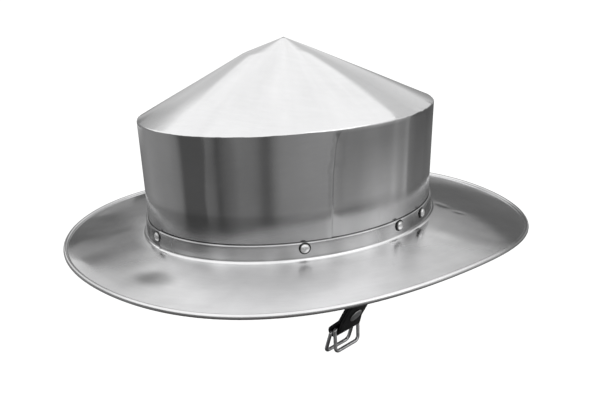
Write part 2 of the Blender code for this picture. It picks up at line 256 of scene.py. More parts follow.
def makeSheetSteel(name, look):
    # streaks left by polishing run up the wall and outwards over the cone and the brim
    steel = Shading(name)
    x, y, z = steel.split(steel.coordinates)
    reach = steel.math("SQRT", steel.math("ADD", steel.math("MULTIPLY", x, x), steel.math("MULTIPLY", y, y)))
    safeReach = steel.math("MAXIMUM", reach, 0.002)
    along = steel.math("ADD", z, reach)
    streakPlace = steel.join(
        steel.math("DIVIDE", x, safeReach),
        steel.math("DIVIDE", y, safeReach),
        steel.math("MULTIPLY", along, look["streakDrift"]))
    streaks = steel.noise(streakPlace, look["streaks"], 4.0)
    cloud = steel.noise(steel.coordinates, look["clouds"], 3.0)
    grain = steel.noise(steel.coordinates, look["grain"], 2.0)
    tone = steel.math("ADD", steel.math("MULTIPLY", streaks, 0.5), steel.math("MULTIPLY", cloud, 0.3))
    # fine scratches run level round the hat
    scratchPlace = steel.join(
        steel.math("MULTIPLY", x, 0.08), steel.math("MULTIPLY", y, 0.08), steel.math("ADD", z, reach))
    scratches = steel.noise(scratchPlace, look["scratches"], 3.0, 0.7)
    tone = steel.math("ADD", tone, steel.math("MULTIPLY", scratches, 0.2))
    shade = steel.stretch(tone, 0.35, 0.65, 0.0, 1.0)
    # painted shade of the narrow gap above the collar darkens the corner there, with some old polish
    corner = steel.math("ABSOLUTE", steel.math("SUBTRACT", z, look["cornerShadeAndDirtHeight"]))
    grimeAndShade = steel.stretch(corner, 0.0003, 0.0007, 0.75, 0.0)
    # the mesh's attribute adds real stains and also painted shade and painted reflections
    grimeAndShade = steel.math("MAXIMUM", grimeAndShade, steel.attribute("stainAndShade"))
    bare = steel.tint(shade, look["dark"], look["light"])
    steel.give("Base Color", steel.tint(grimeAndShade, bare, look["grimeAndShade"]))
    # the part a hand reaches least is duller
    way = steel.tree.nodes.new("ShaderNodeVectorMath")
    way.operation = "DOT_PRODUCT"
    steel.put(way.inputs[0], steel.coordinates)
    way.inputs[1].default_value = look["dullWay"]
    dull = steel.stretch(way.outputs["Value"], *look["dullReach"], 0.0, look["dullness"])
    low, high = look["roughness"]
    steel.give("Roughness", steel.math("ADD", steel.stretch(cloud, 0.35, 0.65, high, low), dull))
    relief = steel.math("ADD", grain, steel.math("MULTIPLY", steel.math("ADD", streaks, scratches), 0.6))
    steel.bump(relief, 0.35, look["bumpDepth"])
    steel.give("Metallic", 1.0)
    return steel.material


plainLook = {
    "clouds": 260.0,
    "scratches": 1800.0,
    "bumpDepth": 0.00003,
}


def makePlainSteel(name, dark, light, roughness, look=plainLook):
    # small turned or drawn pieces: fine scratches, a little wear and, on the rivet heads, painted shade
    # round the edge
    steel = Shading(name)
    cloud = steel.noise(steel.coordinates, look["clouds"], 3.0)
    scratches = steel.noise(steel.coordinates, look["scratches"], 2.0)
    # one minus the painted shade at a rivet head's edge
    bare = steel.math("SUBTRACT", 1.0, steel.attribute("edgeShade"))
    tone = steel.math("MULTIPLY", steel.stretch(cloud, 0.35, 0.65, 0.5, 1), bare)
    steel.give("Base Color", steel.tint(tone, dark, light))
    low, high = roughness
    steel.give("Roughness", steel.stretch(cloud, 0.35, 0.65, high, low))
    steel.bump(scratches, 0.3, look["bumpDepth"])
    steel.give("Metallic", 1.0)
    return steel.material


leatherLook = {
    "dark": (0.005, 0.005, 0.006),
    "light": (0.013, 0.013, 0.014),
    "sheen": 0.25,
    "roughness": (0.38, 0.55),
    "grain": 1400.0,
    "creases": 160.0,
    "bumpDepth": 0.0001,
}


def makeLeather(name, look):
    leather = Shading(name)
    grain = leather.noise(leather.coordinates, look["grain"], 4.0, 0.65)
    creases = leather.noise(leather.coordinates, look["creases"], 3.0)
    tone = leather.stretch(creases, 0.35, 0.65, 0, 1)
    leather.give("Base Color", leather.tint(tone, look["dark"], look["light"]))
    leather.give("Specular IOR Level", look["sheen"])
    leather.give("Roughness", leather.stretch(grain, 0.35, 0.65, *look["roughness"]))
    relief = leather.math("ADD", grain, leather.math("MULTIPLY", creases, 0.8))
    leather.bump(relief, 0.5, look["bumpDepth"])
    return leather.material


crownSteel = makeSheetSteel("crownSteel", crownLook)
brimSteel = makeSheetSteel("brimSteel", brimLook)
rivetSteel = makePlainSteel("rivetSteel", (0.05, 0.05, 0.05), (0.98, 0.98, 0.98), (0.4, 0.5))
wireSteel = makePlainSteel("ringWire", (0.3, 0.3, 0.31), (0.72, 0.72, 0.73), (0.14, 0.26))
buttonSteel = makePlainSteel("foldRivetSteel", (0.35, 0.35, 0.35), (0.8, 0.8, 0.81), (0.3, 0.42))
blackLeather = makeLeather("blackLeather", leatherLook)
print("materials ready")


# Crown: an upright oval wall and a low cone

# seam and fold have rows of height and degrees from the front, the painted band at the foot rows of degrees
# and share, and nicks of degrees, reach and depth
crown = {
    "points": 360,
    "sheet": 0.0015,
    "base": (0.1052, 0.1221),
    "top": (0.1073, 0.1242),
    "collarTop": 0.0115,
    "wallHeight": 0.0847,
    "height": 0.1383,
    "coneForward": 0.0085,
    "tipShare": 0.24,
    "tipBlend": 0.07,
    "tipBlunting": 0.0031,
    "tipForward": 0.0013,
    "edgeRadius": 0.0010,
    "wallRows": 22,
    "coneRows": 36,
    "wallUnevenness": 0.00028,
    "coneUnevenness": 0.00030,
    "seam": ((0.018, 61.8), (0.054, 62.2), (0.071, 63.0), (0.083, 64.0)),
    "seamPeak": 0.00035,
    "seamReach": 0.008,
    "seamGroove": 0.00012,
    "seamPull": 0.0052,
    "seamColumns": (0, 0.0003, 0.0008),
    "seamStain": 0.55,
    "fold": ((0.019, 18.5), (0.041, 17.2), (0.082, 20.2)),
    "foldPeak": 0.00016,
    "foldReach": 0.005,
    "heatStain": 0.42,
    "heatReach": 0.175,
    "footReflectionAndWear": ((-12, 0.34), (39, 0.36), (61, 0.45), (70, 0.38), (82, 0.12), (97, 0.14)),
    "footHeight": 0.0325,
    "footFade": 0.005,
    "lean": (0.0009, 0.0008),
    "edgeRoughness": 0.0003,
    "nicks": ((112, 11, 0.0009), (-40, 7, 0.0007)),
}


def coneMiddle(size, share):
    # middle and height of the cone's ring at one share of its width: straight sides that bend to the tip
    rise = size["height"] + size["tipBlunting"] - size["wallHeight"]
    side = (-size["coneForward"] * (1 - share), size["wallHeight"] + rise * (1 - share))
    bend = size["tipShare"]
    start = (-size["coneForward"] * (1 - bend), size["wallHeight"] + rise * (1 - bend))
    along = share / bend
    tip = (
        -size["tipForward"] * (1 - along) + start[0] * along,
        size["height"] * (1 - along) + start[1] * along)
    mix = clamp((share - bend) / size["tipBlend"] + 0.5)
    mix = mix * mix * (3 - 2 * mix)
    return tip[0] + (side[0] - tip[0]) * mix, tip[1] + (side[1] - tip[1]) * mix


def crownRows(size):
    baseWidth, baseDepth = size["base"]
    topWidth, topDepth = size["top"]
    rows = [(baseWidth, baseDepth, 0, 0), (baseWidth, baseDepth, 0, size["collarTop"])]
    for step in range(1, size["wallRows"] + 1):
        share = step / size["wallRows"]
        rows.append((
            baseWidth + (topWidth - baseWidth) * share,
            baseDepth + (topDepth - baseDepth) * share,
            0,
            size["collarTop"] + (size["wallHeight"] - size["collarTop"]) * share))
    for step in range(1, size["coneRows"]):
        share = 1 - step / size["coneRows"]
        middle, height = coneMiddle(size, share)
        rows.append((topWidth * share, topDepth * share, middle, height))
    return rows


def makeCrown(size):
    piece = pullRings("crown_steel", crownRows(size), size["points"])
    lastRow = crownRows(size)[-1]
    reach = (size["top"][0] + size["top"][1]) / 2
    spacing = 2 * math.pi / size["points"] * reach
    bpy.ops.mesh.extrude_edges_move()
    bpy.ops.mesh.merge(type="CENTER")
    bpy.ops.transform.translate(value=(0, -size["tipForward"] - lastRow[2], size["height"] - lastRow[3]))
    objectMode()
    stainAndShade = piece.data.attributes.new("stainAndShade", "FLOAT", "POINT")
    for vertex in piece.data.vertices:
        place = vertex.co
        angle = math.atan2(place.x, -place.y)
        leanShare = 0
        if place.z > size["wallHeight"]:
            share = min(1, math.hypot(place.x / size["top"][0], place.y / size["top"][1]))
            swell = noise.noise(Vector((math.sin(angle) * 1.6, math.cos(angle) * 1.6, share * 2.2)))
            place.z += swell * size["coneUnevenness"] * min(1, 5 * (1 - share)) * min(1, 4 * share)
            leanShare = share
        elif place.z > size["collarTop"]:
            share = (place.z - size["collarTop"]) / (size["wallHeight"] - size["collarTop"])
            wave = noise.noise(Vector((math.sin(angle) * 3.1, math.cos(angle) * 3.1, place.z * 5 + 4)))
            fine = noise.noise(Vector((math.sin(angle) * 11, math.cos(angle) * 11, place.z * 8 + 9)))
            hold = min(1, 6 * share) * min(1, 6 * (1 - share))
            leanShare = share
            push = (wave + 0.25 * fine) * size["wallUnevenness"] * (0.35 + 0.65 * hold)
            # the wall stands out a little along its upright weld and along an old fold at the front
            degrees = math.degrees(math.atan2(place.x / size["top"][0], -place.y / size["top"][1]))
            fromSeam = math.radians(degrees - valueAt(size["seam"], place.z)) * reach
            push += size["seamPeak"] * hold * math.exp(-abs(fromSeam) / size["seamReach"])
            fromFold = math.radians(degrees - valueAt(size["fold"], place.z)) * reach
            push += size["foldPeak"] * hold * math.exp(-abs(fromFold) / size["foldReach"])
            # the heat of the weld left the upper wall darker towards the back
            darker = clamp(fromSeam / 0.004) * clamp((size["heatReach"] - fromSeam) / 0.06)
            darker *= 0.6 + 0.8 * wave
            dark = size["heatStain"] * darker * clamp((share - 0.35) * 2)
            # and a darker band is painted above the collar: partly a painted reflection of the brim, partly
            # wear
            low = clamp((size["footHeight"] - place.z) / size["footFade"] + wave)
            dark += valueAt(size["footReflectionAndWear"], degrees) * low
            stainAndShade.data[vertex.index].value = dark
            # columns next to the weld close up into a narrow groove
            column = round(fromSeam / spacing)
            if abs(fromSeam) < size["seamPull"] and share < 0.985:
                side = math.copysign(size["seamColumns"][min(2, abs(column))], column)
                slide = (side - fromSeam) * min(1, 14 * (1 - share))
                place.x += math.cos(angle) * slide
                place.y += math.sin(angle) * slide
                push -= size["seamGroove"] if column == 0 else 0
                if abs(column) < 2:
                    stainAndShade.data[vertex.index].value = size["seamStain"]
            place.x += math.sin(angle) * push
            place.y -= math.cos(angle) * push
        # the top edge was filed by hand, worst on the wearer's left
        if abs(place.z - size["wallHeight"]) < 0.0001:
            rough = size["edgeRoughness"]
            for nickAngle, nickReach, depth in size["nicks"]:
                rough += depth * math.exp(-((math.degrees(angle) - nickAngle) / nickReach) ** 2)
            place.z += noise.noise(Vector((place.x * 90, place.y * 90, 1.5))) * rough
            place.z += noise.noise(Vector((place.x * 260, place.y * 260, 5.5))) * rough * 0.6
        # the wall leans a little towards the left of the back
        place.x += size["lean"][0] * leanShare
        place.y += size["lean"][1] * leanShare
    # the welded edge between wall and cone, rounded a little
    first = size["points"] * (1 + size["wallRows"])
    pickEdges(piece, range(first, first + size["points"]))
    bpy.ops.mesh.bevel(offset=size["edgeRadius"], segments=4, affect="EDGES")
    outwardFaces()
    objectMode()
    applyModifier(piece, "SOLIDIFY", thickness=size["sheet"], offset=-1, use_even_offset=True)
    smoothShade(piece)
    dress(piece, "hat", "polished_steel", crownSteel, "crown")


makeCrown(crown)
print("crown made")


# Brim: the collar round the crown, the wide plate and its rolled edge, in one sheet

brim = {
    "points": 432,
    "sheet": 0.0015,
    "collar": (0.1070, 0.1239),
    "collarHeight": 0.0100,
    "collarRounding": 0.0009,
    "bend": 0.0030,
    "bendSteps": 10,
    "edge": (0.1771, 0.1932),
    "back": 0.0092,
    "drop": 0.0125,
    "dish": 1.3,
    "plateRows": 40,
    "beadRadius": 0.0018,
    "beadRise": 0.0004,
    "beadSteps": 14,
    "unevenness": 0.00055,
    "lapAngle": -8.3,
    "lapLift": 0.0005,
    "lapRise": 0.0006,
    "lapReach": 45,
    "lapDarkening": 0.3,
    "collarShade": 0.33,
}
# dents in the plate: x, y, length, width, direction in degrees and depth
brimDents = (
    (0.007, -0.150, 0.011, 0.009, 20, 0.0008),
    (0.088, 0.086, 0.006, 0.0022, -16, 0.0003),
    (0.107, 0.082, 0.004, 0.002, 13, 0.0002),
)
# dark marks on the plate, partly stains and partly painted reflections: x, y, length, width, direction in
# degrees and share
brimStainsAndReflections = (
    (0.016, -0.152, 0.017, 0.0075, 10, 0.34),
    (0.089, 0.086, 0.008, 0.0026, -12, 0.45),
    (0.107, 0.082, 0.005, 0.002, 13, 0.4),
    (-0.076, -0.124, 0.040, 0.017, 40, 0.28),
    (-0.018, -0.163, 0.046, 0.023, 5, 0.30),
    (-0.130, -0.050, 0.055, 0.030, 70, 0.10),
)
# slow waves of the brim's edge: lobes round the hat, share outwards, share of the drop
brimWaves = ((1, 0, -0.23), (2, 0, 0.16), (3, 0, 0.27), (4, -0.025, -0.09))


def brimProfile(size):
    # rows of (half width, half depth, centre y, height, share of the plate), along the upper side,
    # round the bead and back along the lower side
    collarWidth, collarDepth = size["collar"]
    upper = []
    rounding = size["collarRounding"]
    for turn in (90, 67, 45, 22):
        inset = rounding * (1 - math.cos(math.radians(turn)))
        fall = rounding * (1 - math.sin(math.radians(turn)))
        upper.append([collarWidth - inset, collarDepth - inset, 0, size["collarHeight"] - fall, 0, 0, 0])
    side = size["collarHeight"] - rounding
    for step in range(6):
        upper.append([collarWidth, collarDepth, 0, side * (1 - step / 5), 0, 0, 1])
    for step in range(1, size["bendSteps"] + 1):
        turn = math.radians(90) * step / size["bendSteps"]
        along = size["bend"] * (1 - math.cos(turn))
        upper.append([
            collarWidth + along, collarDepth + along, 0, -size["bend"] * math.sin(turn),
            0, math.sin(turn), math.cos(turn)])
    lift = size["sheet"] / 2 - size["beadRise"]
    inset = size["beadRadius"] + math.sqrt(size["beadRadius"] ** 2 - lift ** 2)
    startWidth, startDepth = collarWidth + size["bend"], collarDepth + size["bend"]
    endWidth, endDepth = size["edge"][0] - inset, size["edge"][1] - inset
    endHeight = -size["drop"] + lift
    for step in range(1, size["plateRows"] + 1):
        share = step / size["plateRows"]
        upper.append([
            startWidth + (endWidth - startWidth) * share,
            startDepth + (endDepth - startDepth) * share,
            size["back"] * share,
            -size["bend"] + (endHeight + size["bend"]) * share ** size["dish"],
            share, 1, 0])
    back = size["sheet"]
    lower = []
    for width, depth, middle, height, share, down, inward in reversed(upper[4:]):
        lower.append([width - back * inward, depth - back * inward, middle, height - back * down, share])
    lower.append([collarWidth - back, collarDepth - back, 0, size["collarHeight"], 0])
    first = math.pi - math.asin(lift / size["beadRadius"])
    last = -math.pi + math.asin((size["sheet"] - lift) / size["beadRadius"])
    bead = []
    for step in range(1, size["beadSteps"] + 1):
        turn = first + (last - first) * step / (size["beadSteps"] + 1)
        reach = size["beadRadius"] * (math.cos(turn) - 1)
        bead.append([
            size["edge"][0] + reach, size["edge"][1] + reach, size["back"],
            -size["drop"] + size["beadRadius"] * math.sin(turn), 1])
    return [row[:5] for row in upper] + bead + lower


def markReach(place, markX, markY, length, width, direction):
    # how far a place lies from the middle of an oval mark, squared, 1 at its border
    turn = math.radians(direction)
    offX, offY = place.x - markX, place.y - markY
    along = (offX * math.cos(turn) + offY * math.sin(turn)) / length
    across = (offY * math.cos(turn) - offX * math.sin(turn)) / width
    return along ** 2 + across ** 2


def makeBrim(size):
    rows = brimProfile(size)
    piece = pullRings("brim_steel", [row[:4] for row in rows], size["points"])
    objectMode()
    count, total = size["points"], len(piece.data.vertices)
    step = 360 / count
    stainAndShade = piece.data.attributes.new("stainAndShade", "FLOAT", "POINT")
    for index, vertex in enumerate(piece.data.vertices):
        width, depth, middle, height, share = rows[index // count]
        place = vertex.co
        angle = math.atan2(place.x / width, -(place.y - middle) / depth)
        # the collar's front end lies over its side end, in a small step at the left rivet
        fromLap = math.degrees(angle) - size["lapAngle"]
        # painted shade: the collar strip is painted darker, in random patches, for the darker reflection its
        # upright face shows
        if share == 0 and height > -size["bend"] / 3:
            patch = noise.noise(Vector((place.x * 60, place.y * 60, height * 40)))
            dark = size["collarShade"] * (1 + patch)
            # darker still beside the step, fading away from it
            if -size["lapReach"] < fromLap < 0:
                dark += size["lapDarkening"] * (1 + fromLap / size["lapReach"])
            stainAndShade.data[index].value = dark
        if share == 0 and -step < fromLap < size["lapReach"]:
            if abs(fromLap) < step:
                angle = math.radians(size["lapAngle"] + (0.1 if fromLap > 0 else -0.1))
                place.x = width * math.sin(angle)
                place.y = middle - depth * math.cos(angle)
            if fromLap > 0:
                lap = clamp((1 - fromLap / size["lapReach"]) * (height + size["bend"]) / size["bend"])
                place.x += math.sin(angle) * size["lapLift"] * lap
                place.y -= math.cos(angle) * size["lapLift"] * lap
                if height > 0.004:
                    place.z += size["lapRise"] * (1 - fromLap / size["lapReach"])
        outward = sum(swing * math.cos(lobes * angle) for lobes, swing, _ in brimWaves)
        drop = sum(swing * math.cos(lobes * angle) for lobes, _, swing in brimWaves)
        place.x += share * outward * size["edge"][0] * math.sin(angle)
        place.y -= share * outward * size["edge"][1] * math.cos(angle)
        place.z -= share ** size["dish"] * drop * size["drop"]
        slow = noise.noise(Vector((place.x * 17, place.y * 17, 3.3)))
        quick = noise.noise(Vector((place.x * 48, place.y * 48, 7.7)))
        hold = min(1, 4 * share) * min(1, 7 * (1 - share))
        place.z += (slow + 0.28 * quick) * size["unevenness"] * hold
        if share > 0:
            for *mark, depth in brimDents:
                place.z -= depth * math.exp(-markReach(place, *mark))
            # stains and painted reflections on the plate
            dark = sum(depth * math.exp(-markReach(place, *mark) ** 2) for *mark, depth in brimStainsAndReflections)
            stainAndShade.data[index].value = dark
    # close the sheet at the collar's top edge
    pickEdges(piece, set(range(count)) | set(range(total - count, total)))
    bpy.ops.mesh.bridge_edge_loops()
    outwardFaces()
    objectMode()
    smoothShade(piece, 50)
    dress(piece, "hat", "polished_steel", brimSteel, "brim")


makeBrim(brim)
print("brim made")


# Rivets

rivet = {
    "points": 32,
    "seatHeight": 0.0062,
    "gap": 0.0003,
    "headRadius": 0.0035,
    "flangeRadius": 0.0042,
    "dome": 0.0024,
    "shankRadius": 0.0016,
    "tailRadius": 0.0027,
    "tailThickness": 0.0008,
    "edgeShadeStart": 0.86,
    "unevenness": 0.00012,
    "collarGrip": 0.0033,
    "strapGrip": 0.006657,
    "collarAngles": (-9.5, 52.0, 106.0, 168.0, 230.0, 290.5),
    "strapAngles": {"left": 90.0, "right": 270.0},
}


def turnedPiece(name, rows, points):
    # rows of (radius, height) round +Z, closed at both ends
    piece = pullRings(name, [(radius, radius, 0, height) for radius, height in rows], points)
    bpy.ops.mesh.extrude_edges_move()
    bpy.ops.mesh.merge(type="CENTER")
    pickEdges(piece, range(points))
    bpy.ops.mesh.edge_face_add()
    outwardFaces()
    objectMode()
    return piece


def setOnAxis(piece, seat, axis):
    turn = axis.to_track_quat("Z", "Y").to_matrix().to_4x4()
    piece.data.transform(Matrix.Translation(seat) @ turn)


def rivetRows(size, grip):
    tail, shank, flange, gap = size["tailRadius"], size["shankRadius"], size["flangeRadius"], size["gap"]
    seat = -grip - gap
    end = seat - size["tailThickness"]
    rows = [
        (tail * 0.55, end), (tail * 0.85, end + 0.00005), (tail, end + 0.0003), (tail, seat),
        (shank, seat), (shank, gap), (flange, gap), (flange, gap + 0.00015),
        (size["headRadius"], gap + 0.0003),
    ]
    for turn in (14, 26, 38, 50, 62, 72, 80, 86):
        arc = math.radians(turn)
        rows.append((size["headRadius"] * math.cos(arc), gap + size["dome"] * math.sin(arc)))
    return rows


def makeRivets(size):
    places = [(f"collar_rivet_{n}", a, size["collarGrip"]) for n, a in enumerate(size["collarAngles"], 1)]
    places += [(f"strap_rivet_{side}", a, size["strapGrip"]) for side, a in size["strapAngles"].items()]
    width, depth = brim["collar"]
    for node, degrees, grip in places:
        angle = math.radians(degrees)
        seat = Vector((width * math.sin(angle), -depth * math.cos(angle), size["seatHeight"]))
        axis = Vector((depth * math.sin(angle), -width * math.cos(angle), 0)).normalized()
        piece = turnedPiece(node + "_steel", rivetRows(size, grip), size["points"])
        # each head was closed by hand, so none is quite round, and painted shade darkens the edge of its
        # head
        edgeShade = piece.data.attributes.new("edgeShade", "FLOAT", "POINT")
        for vertex in piece.data.vertices:
            edge = math.hypot(vertex.co.x, vertex.co.y) / size["headRadius"]
            edgeShade.data[vertex.index].value = clamp((edge - size["edgeShadeStart"]) / 0.08)
            dent = noise.noise(vertex.co * 260 + Vector((degrees, 0, 0)))
            if vertex.co.z > size["gap"]:
                vertex.co += vertex.co.normalized() * dent * size["unevenness"]
        setOnAxis(piece, seat, axis)
        smoothShade(piece, 50)
        dress(piece, "hat", "rivet_steel", rivetSteel, node)


makeRivets(rivet)
print("rivets made")


# Chin strap, in the plane y = 0 of the hat

strap = {
    "thickness": 0.0024,
    "width": 0.0250,
    "edgeRadius": 0.0005,
    "corner": 0.0030,
    "seat": 0.102743,
    "tabTop": 0.0147,
    "bendDrop": 0.0115,
    "bendRadius": 0.0200,
    "lean": math.radians(30),
    "slant": 0.0760,
    "layerGap": 0.0004,
    "foldReturn": 0.0220,
    "eyeClearance": 0.0008,
    "tongueDrop": 0.1180,
    "pinch": 0.0065,
    "outerBar": (0.0139, 0.0003),
    "innerBar": (0.0193, 0.0022),
}
ring = {
    "wire": 0.0015,
    "halfWidth": 0.0144,
    "length": 0.0200,
    "topCorner": 0.0025,
    "bottomCorner": 0.0040,
    "innerLean": math.radians(18.5),
}


def strapFrame(size):
    corner = Vector((size["seat"] - size["thickness"] / 2, -size["bendDrop"]))
    down = Vector((-math.sin(size["lean"]), -math.cos(size["lean"])))
    out = Vector((math.cos(size["lean"]), -math.sin(size["lean"])))
    middle = corner + down * size["slant"] - out * (size["thickness"] + size["layerGap"]) / 2
    return middle, down, out


def arcPoints(centre, radius, first, last, steps):
    turns = [first + (last - first) * step / steps for step in range(steps + 1)]
    return [centre + Vector((-math.sin(turn), math.cos(turn))) * radius for turn in turns]


def foldPoints(size):
    # the belt round both bars, as (down from the rivet, out of the middle)
    layer = (size["thickness"] + size["layerGap"]) / 2
    radius = ring["wire"] + size["eyeClearance"] + size["thickness"] / 2
    entry = Vector((size["pinch"], layer))
    leave = Vector((size["pinch"], -layer))
    outerBar = Vector((size["outerBar"][0], -size["outerBar"][1]))
    innerBar = Vector((size["innerBar"][0], -size["innerBar"][1]))
    toOuter = outerBar - entry
    first = math.atan2(toOuter.y, toOuter.x) + math.asin(radius / toOuter.length)
    between = innerBar - outerBar
    second = math.atan2(between.y, between.x)
    back = leave - innerBar
    third = math.atan2(back.y, back.x) - math.asin(radius / back.length)
    if third > second:
        third -= 2 * math.pi
    path = [Vector((0, layer)), entry]
    path += arcPoints(outerBar, radius, first, second, 8)
    path += arcPoints(innerBar, radius, second, third, 18)
    path += [leave, Vector((0, -layer)), Vector((-size["foldReturn"], -layer))]
    return path


def slantedStart(size):
    top = Vector((size["seat"] - size["thickness"] / 2, size["tabTop"]))
    tangent = size["bendRadius"] * math.tan(size["lean"] / 2)
    bendTop = Vector((top.x, tangent - size["bendDrop"]))
    centre = bendTop - Vector((size["bendRadius"], 0))
    path = [top, top - Vector((0, size["corner"])), Vector((top.x, 0))]
    for step in range(11):
        turn = size["lean"] * step / 10
        path.append(centre + Vector((math.cos(turn), -math.sin(turn))) * size["bendRadius"])
    return path


def pullStrip(name, path, halfWidths, side):
    # one edge of a plane pulled along the path, then given the leather's thickness and rounded edges
    clearSelection()
    bpy.ops.mesh.primitive_plane_add(size=1)
    piece = newPiece(name)
    editMode()
    bpy.ops.mesh.select_mode(type="VERT")
    bpy.ops.mesh.select_all(action="DESELECT")
    objectMode()
    for vertex in piece.data.vertices:
        vertex.select = vertex.co.x > 0
    editMode()
    bpy.ops.mesh.delete(type="VERT")
    bpy.ops.mesh.select_all(action="SELECT")
    # the edge that is left lies at x = -0.5
    start = path[0]
    bpy.ops.transform.resize(value=(1, halfWidths[0] * 2, 1), center_override=(0, 0, 0))
    bpy.ops.transform.translate(value=(0.5 + side * start.x, 0, start.y))
    last, width = start, halfWidths[0]
    for point, newWidth in zip(path[1:], halfWidths[1:]):
        bpy.ops.mesh.extrude_edges_move()
        bpy.ops.transform.resize(value=(1, newWidth / width, 1), center_override=(0, 0, 0))
        bpy.ops.transform.translate(value=(side * (point.x - last.x), 0, point.y - last.y))
        last, width = point, newWidth
    objectMode()
    applyModifier(piece, "SOLIDIFY", thickness=strap["thickness"], offset=0, use_even_offset=True)
    applyModifier(
        piece, "BEVEL", width=strap["edgeRadius"], segments=3,
        limit_method="ANGLE", angle_limit=math.radians(50))
    editMode()
    bpy.ops.mesh.select_all(action="SELECT")
    bpy.ops.mesh.normals_make_consistent(inside=False)
    objectMode()
    smoothShade(piece, 45)
    return piece


def makeStraps(size):
    middle, down, out = strapFrame(size)
    folded = [middle + down * point.x + out * point.y for point in foldPoints(size)]
    path = slantedStart(size) + folded
    half = size["width"] / 2
    widths = [half - size["corner"]] + [half] * (len(path) - 1)
    buckleHalf = pullStrip("buckle_strap_leather", path, widths, 1)
    dress(buckleHalf, "hat", "black_leather", blackLeather, "buckle_strap")
    top = Vector((size["seat"] - size["thickness"] / 2, size["tabTop"]))
    path = [top, top - Vector((0, size["corner"])), Vector((top.x, 0))]
    widths = [half - size["corner"], half, half]
    for turn in (0, 15, 30, 45, 60, 72, 82):
        arc = math.radians(turn)
        path.append(Vector((top.x, half - size["tongueDrop"] - half * math.sin(arc))))
        widths.append(half * math.cos(arc))
    tongueHalf = pullStrip("tongue_strap_leather", path, widths, -1)
    dress(tongueHalf, "hat", "black_leather", blackLeather, "tongue_strap")


makeStraps(strap)
print("straps made")


# Rivet that closes the fold

foldRivet = {
    "points": 48,
    "face": 0.0029,
    "headRadius": 0.0062,
    "headHeight": 0.0013,
    "shankRadius": 0.0016,
    "tailRadius": 0.0045,
    "tailHeight": 0.0009,
}


def makeFoldRivet(size):
    middle, _, out = strapFrame(strap)
    face, head, rise = size["face"], size["headRadius"], size["headHeight"]
    tail, fall, shank = size["tailRadius"], size["tailHeight"], size["shankRadius"]
    rows = [
        (tail * 0.5, -face - fall), (tail * 0.85, -face - fall), (tail, -face - fall * 0.4), (tail, -face),
        (shank, -face), (shank, face), (head * 0.97, face), (head, face + rise * 0.25),
        (head * 0.985, face + rise * 0.5), (head * 0.93, face + rise * 0.72),
        (head * 0.82, face + rise * 0.88), (head * 0.6, face + rise * 0.97), (head * 0.3, face + rise),
    ]
    piece = turnedPiece("fold_rivet_steel", rows, size["points"])
    setOnAxis(piece, Vector((middle.x, 0, middle.y)), Vector((out.x, 0, out.y)))
    smoothShade(piece, 50)
    dress(piece, "hat", "ring_steel", buttonSteel, "fold_rivet")


makeFoldRivet(foldRivet)
print("fold rivet made")


# Wire rings

def makeRing(name, node, body, barOffset, lean, size):
    middle, down, out = strapFrame(strap)
    bar = middle + down * barOffset[0] - out * barOffset[1]
    clearSelection()
    bpy.ops.mesh.primitive_plane_add(size=1)
    piece = newPiece(name)
    editMode()
    bpy.ops.mesh.select_all(action="SELECT")
    bpy.ops.transform.resize(
        value=(size["length"], size["halfWidth"] * 2, 1), center_override=(0, 0, 0))
    bpy.ops.transform.translate(value=(size["length"] / 2, 0, 0))
    bpy.ops.mesh.delete(type="ONLY_FACE")
    for corner, low, high in ((size["topCorner"], -1, 0.001), (size["bottomCorner"], 0.015, 1)):
        bpy.ops.mesh.select_mode(type="VERT")
        bpy.ops.mesh.select_all(action="DESELECT")
        objectMode()
        for vertex in piece.data.vertices:
            vertex.select = low < vertex.co.x < high and abs(abs(vertex.co.y) - size["halfWidth"]) < 0.0001
        editMode()
        bpy.ops.mesh.bevel(offset=corner, segments=8, affect="VERTICES")
    bpy.ops.mesh.select_all(action="SELECT")
    bpy.ops.mesh.remove_doubles(threshold=0.00001)
    # x runs down the ring: turned to hang from its bar, leaning inwards
    objectMode()
    hang = Matrix.Rotation(math.radians(90) + lean, 4, "Y")
    piece.data.transform(Matrix.Translation(Vector((bar.x, 0, bar.y))) @ hang)
    pickOnly(piece)
    bpy.ops.object.convert(target="CURVE")
    piece = bpy.context.object
    piece.data.bevel_depth = size["wire"]
    piece.data.bevel_resolution = 5
    piece.data.use_fill_caps = False
    bpy.ops.object.convert(target="MESH")
    piece = bpy.context.object
    smoothShade(piece, 60)
    dress(piece, body, "ring_steel", wireSteel, node)


makeRing("outer_ring_wire", "ring_outer", "outer_ring", strap["outerBar"], 0, ring)
makeRing("inner_ring_wire", "ring_inner", "inner_ring", strap["innerBar"], ring["innerLean"], ring)
print("rings made")


# Studio: pale floor, light and camera

studio = {
    "floorHeight": -0.45,
    "floorRadius": 1.4,
    "fadeStart": 0.5,
    "fadeEnd": 0.85,
    "paperLight": 1.1,
    "flagBand": (-13.0, 26.0),
    "sillBand": (6.0, 12.0),
    "screenRadius": 0.33,
    "screenHeights": (0.0, 0.33),
    "screenGap": (-75, 140),
    # place, width, power and whether the steel mirrors it
    "keyLight": ((0.1, -1.3, 1.5), 1.5, 6, False),
    "fillLight": ((1.5, 0.2, 1.1), 1.5, 2.5, True),
    "cameraAzimuth": 0.774,
    "cameraElevation": 0.299,
    "cameraRoll": -0.046,
    "cameraDistance": 0.5885,
    "lens": 42.66,
    "shift": (0.0124, 0.0130),
}
# light of the room at each height above the horizon, in degrees: before the hat and behind it
roomLow = ((-90, 0.07), (-60, 0.05), (-45, 0.08), (-34, 0.2), (-26, 0.24))
roomFront = (*roomLow, (14, 0.24), (20, 0.95), (24, 1.15), (90, 1.15))
roomBehind = (*roomLow, (-12, 0.24), (-6, 0.8), (10, 0.95), (32, 0.8), (35.5, 1.12), (90, 1.12))
# how far each compass angle counts as behind the hat
roomSides = ((-180, 0), (-172, 0.5), (-164, 1), (-106, 1), (-90, 0), (180, 0))
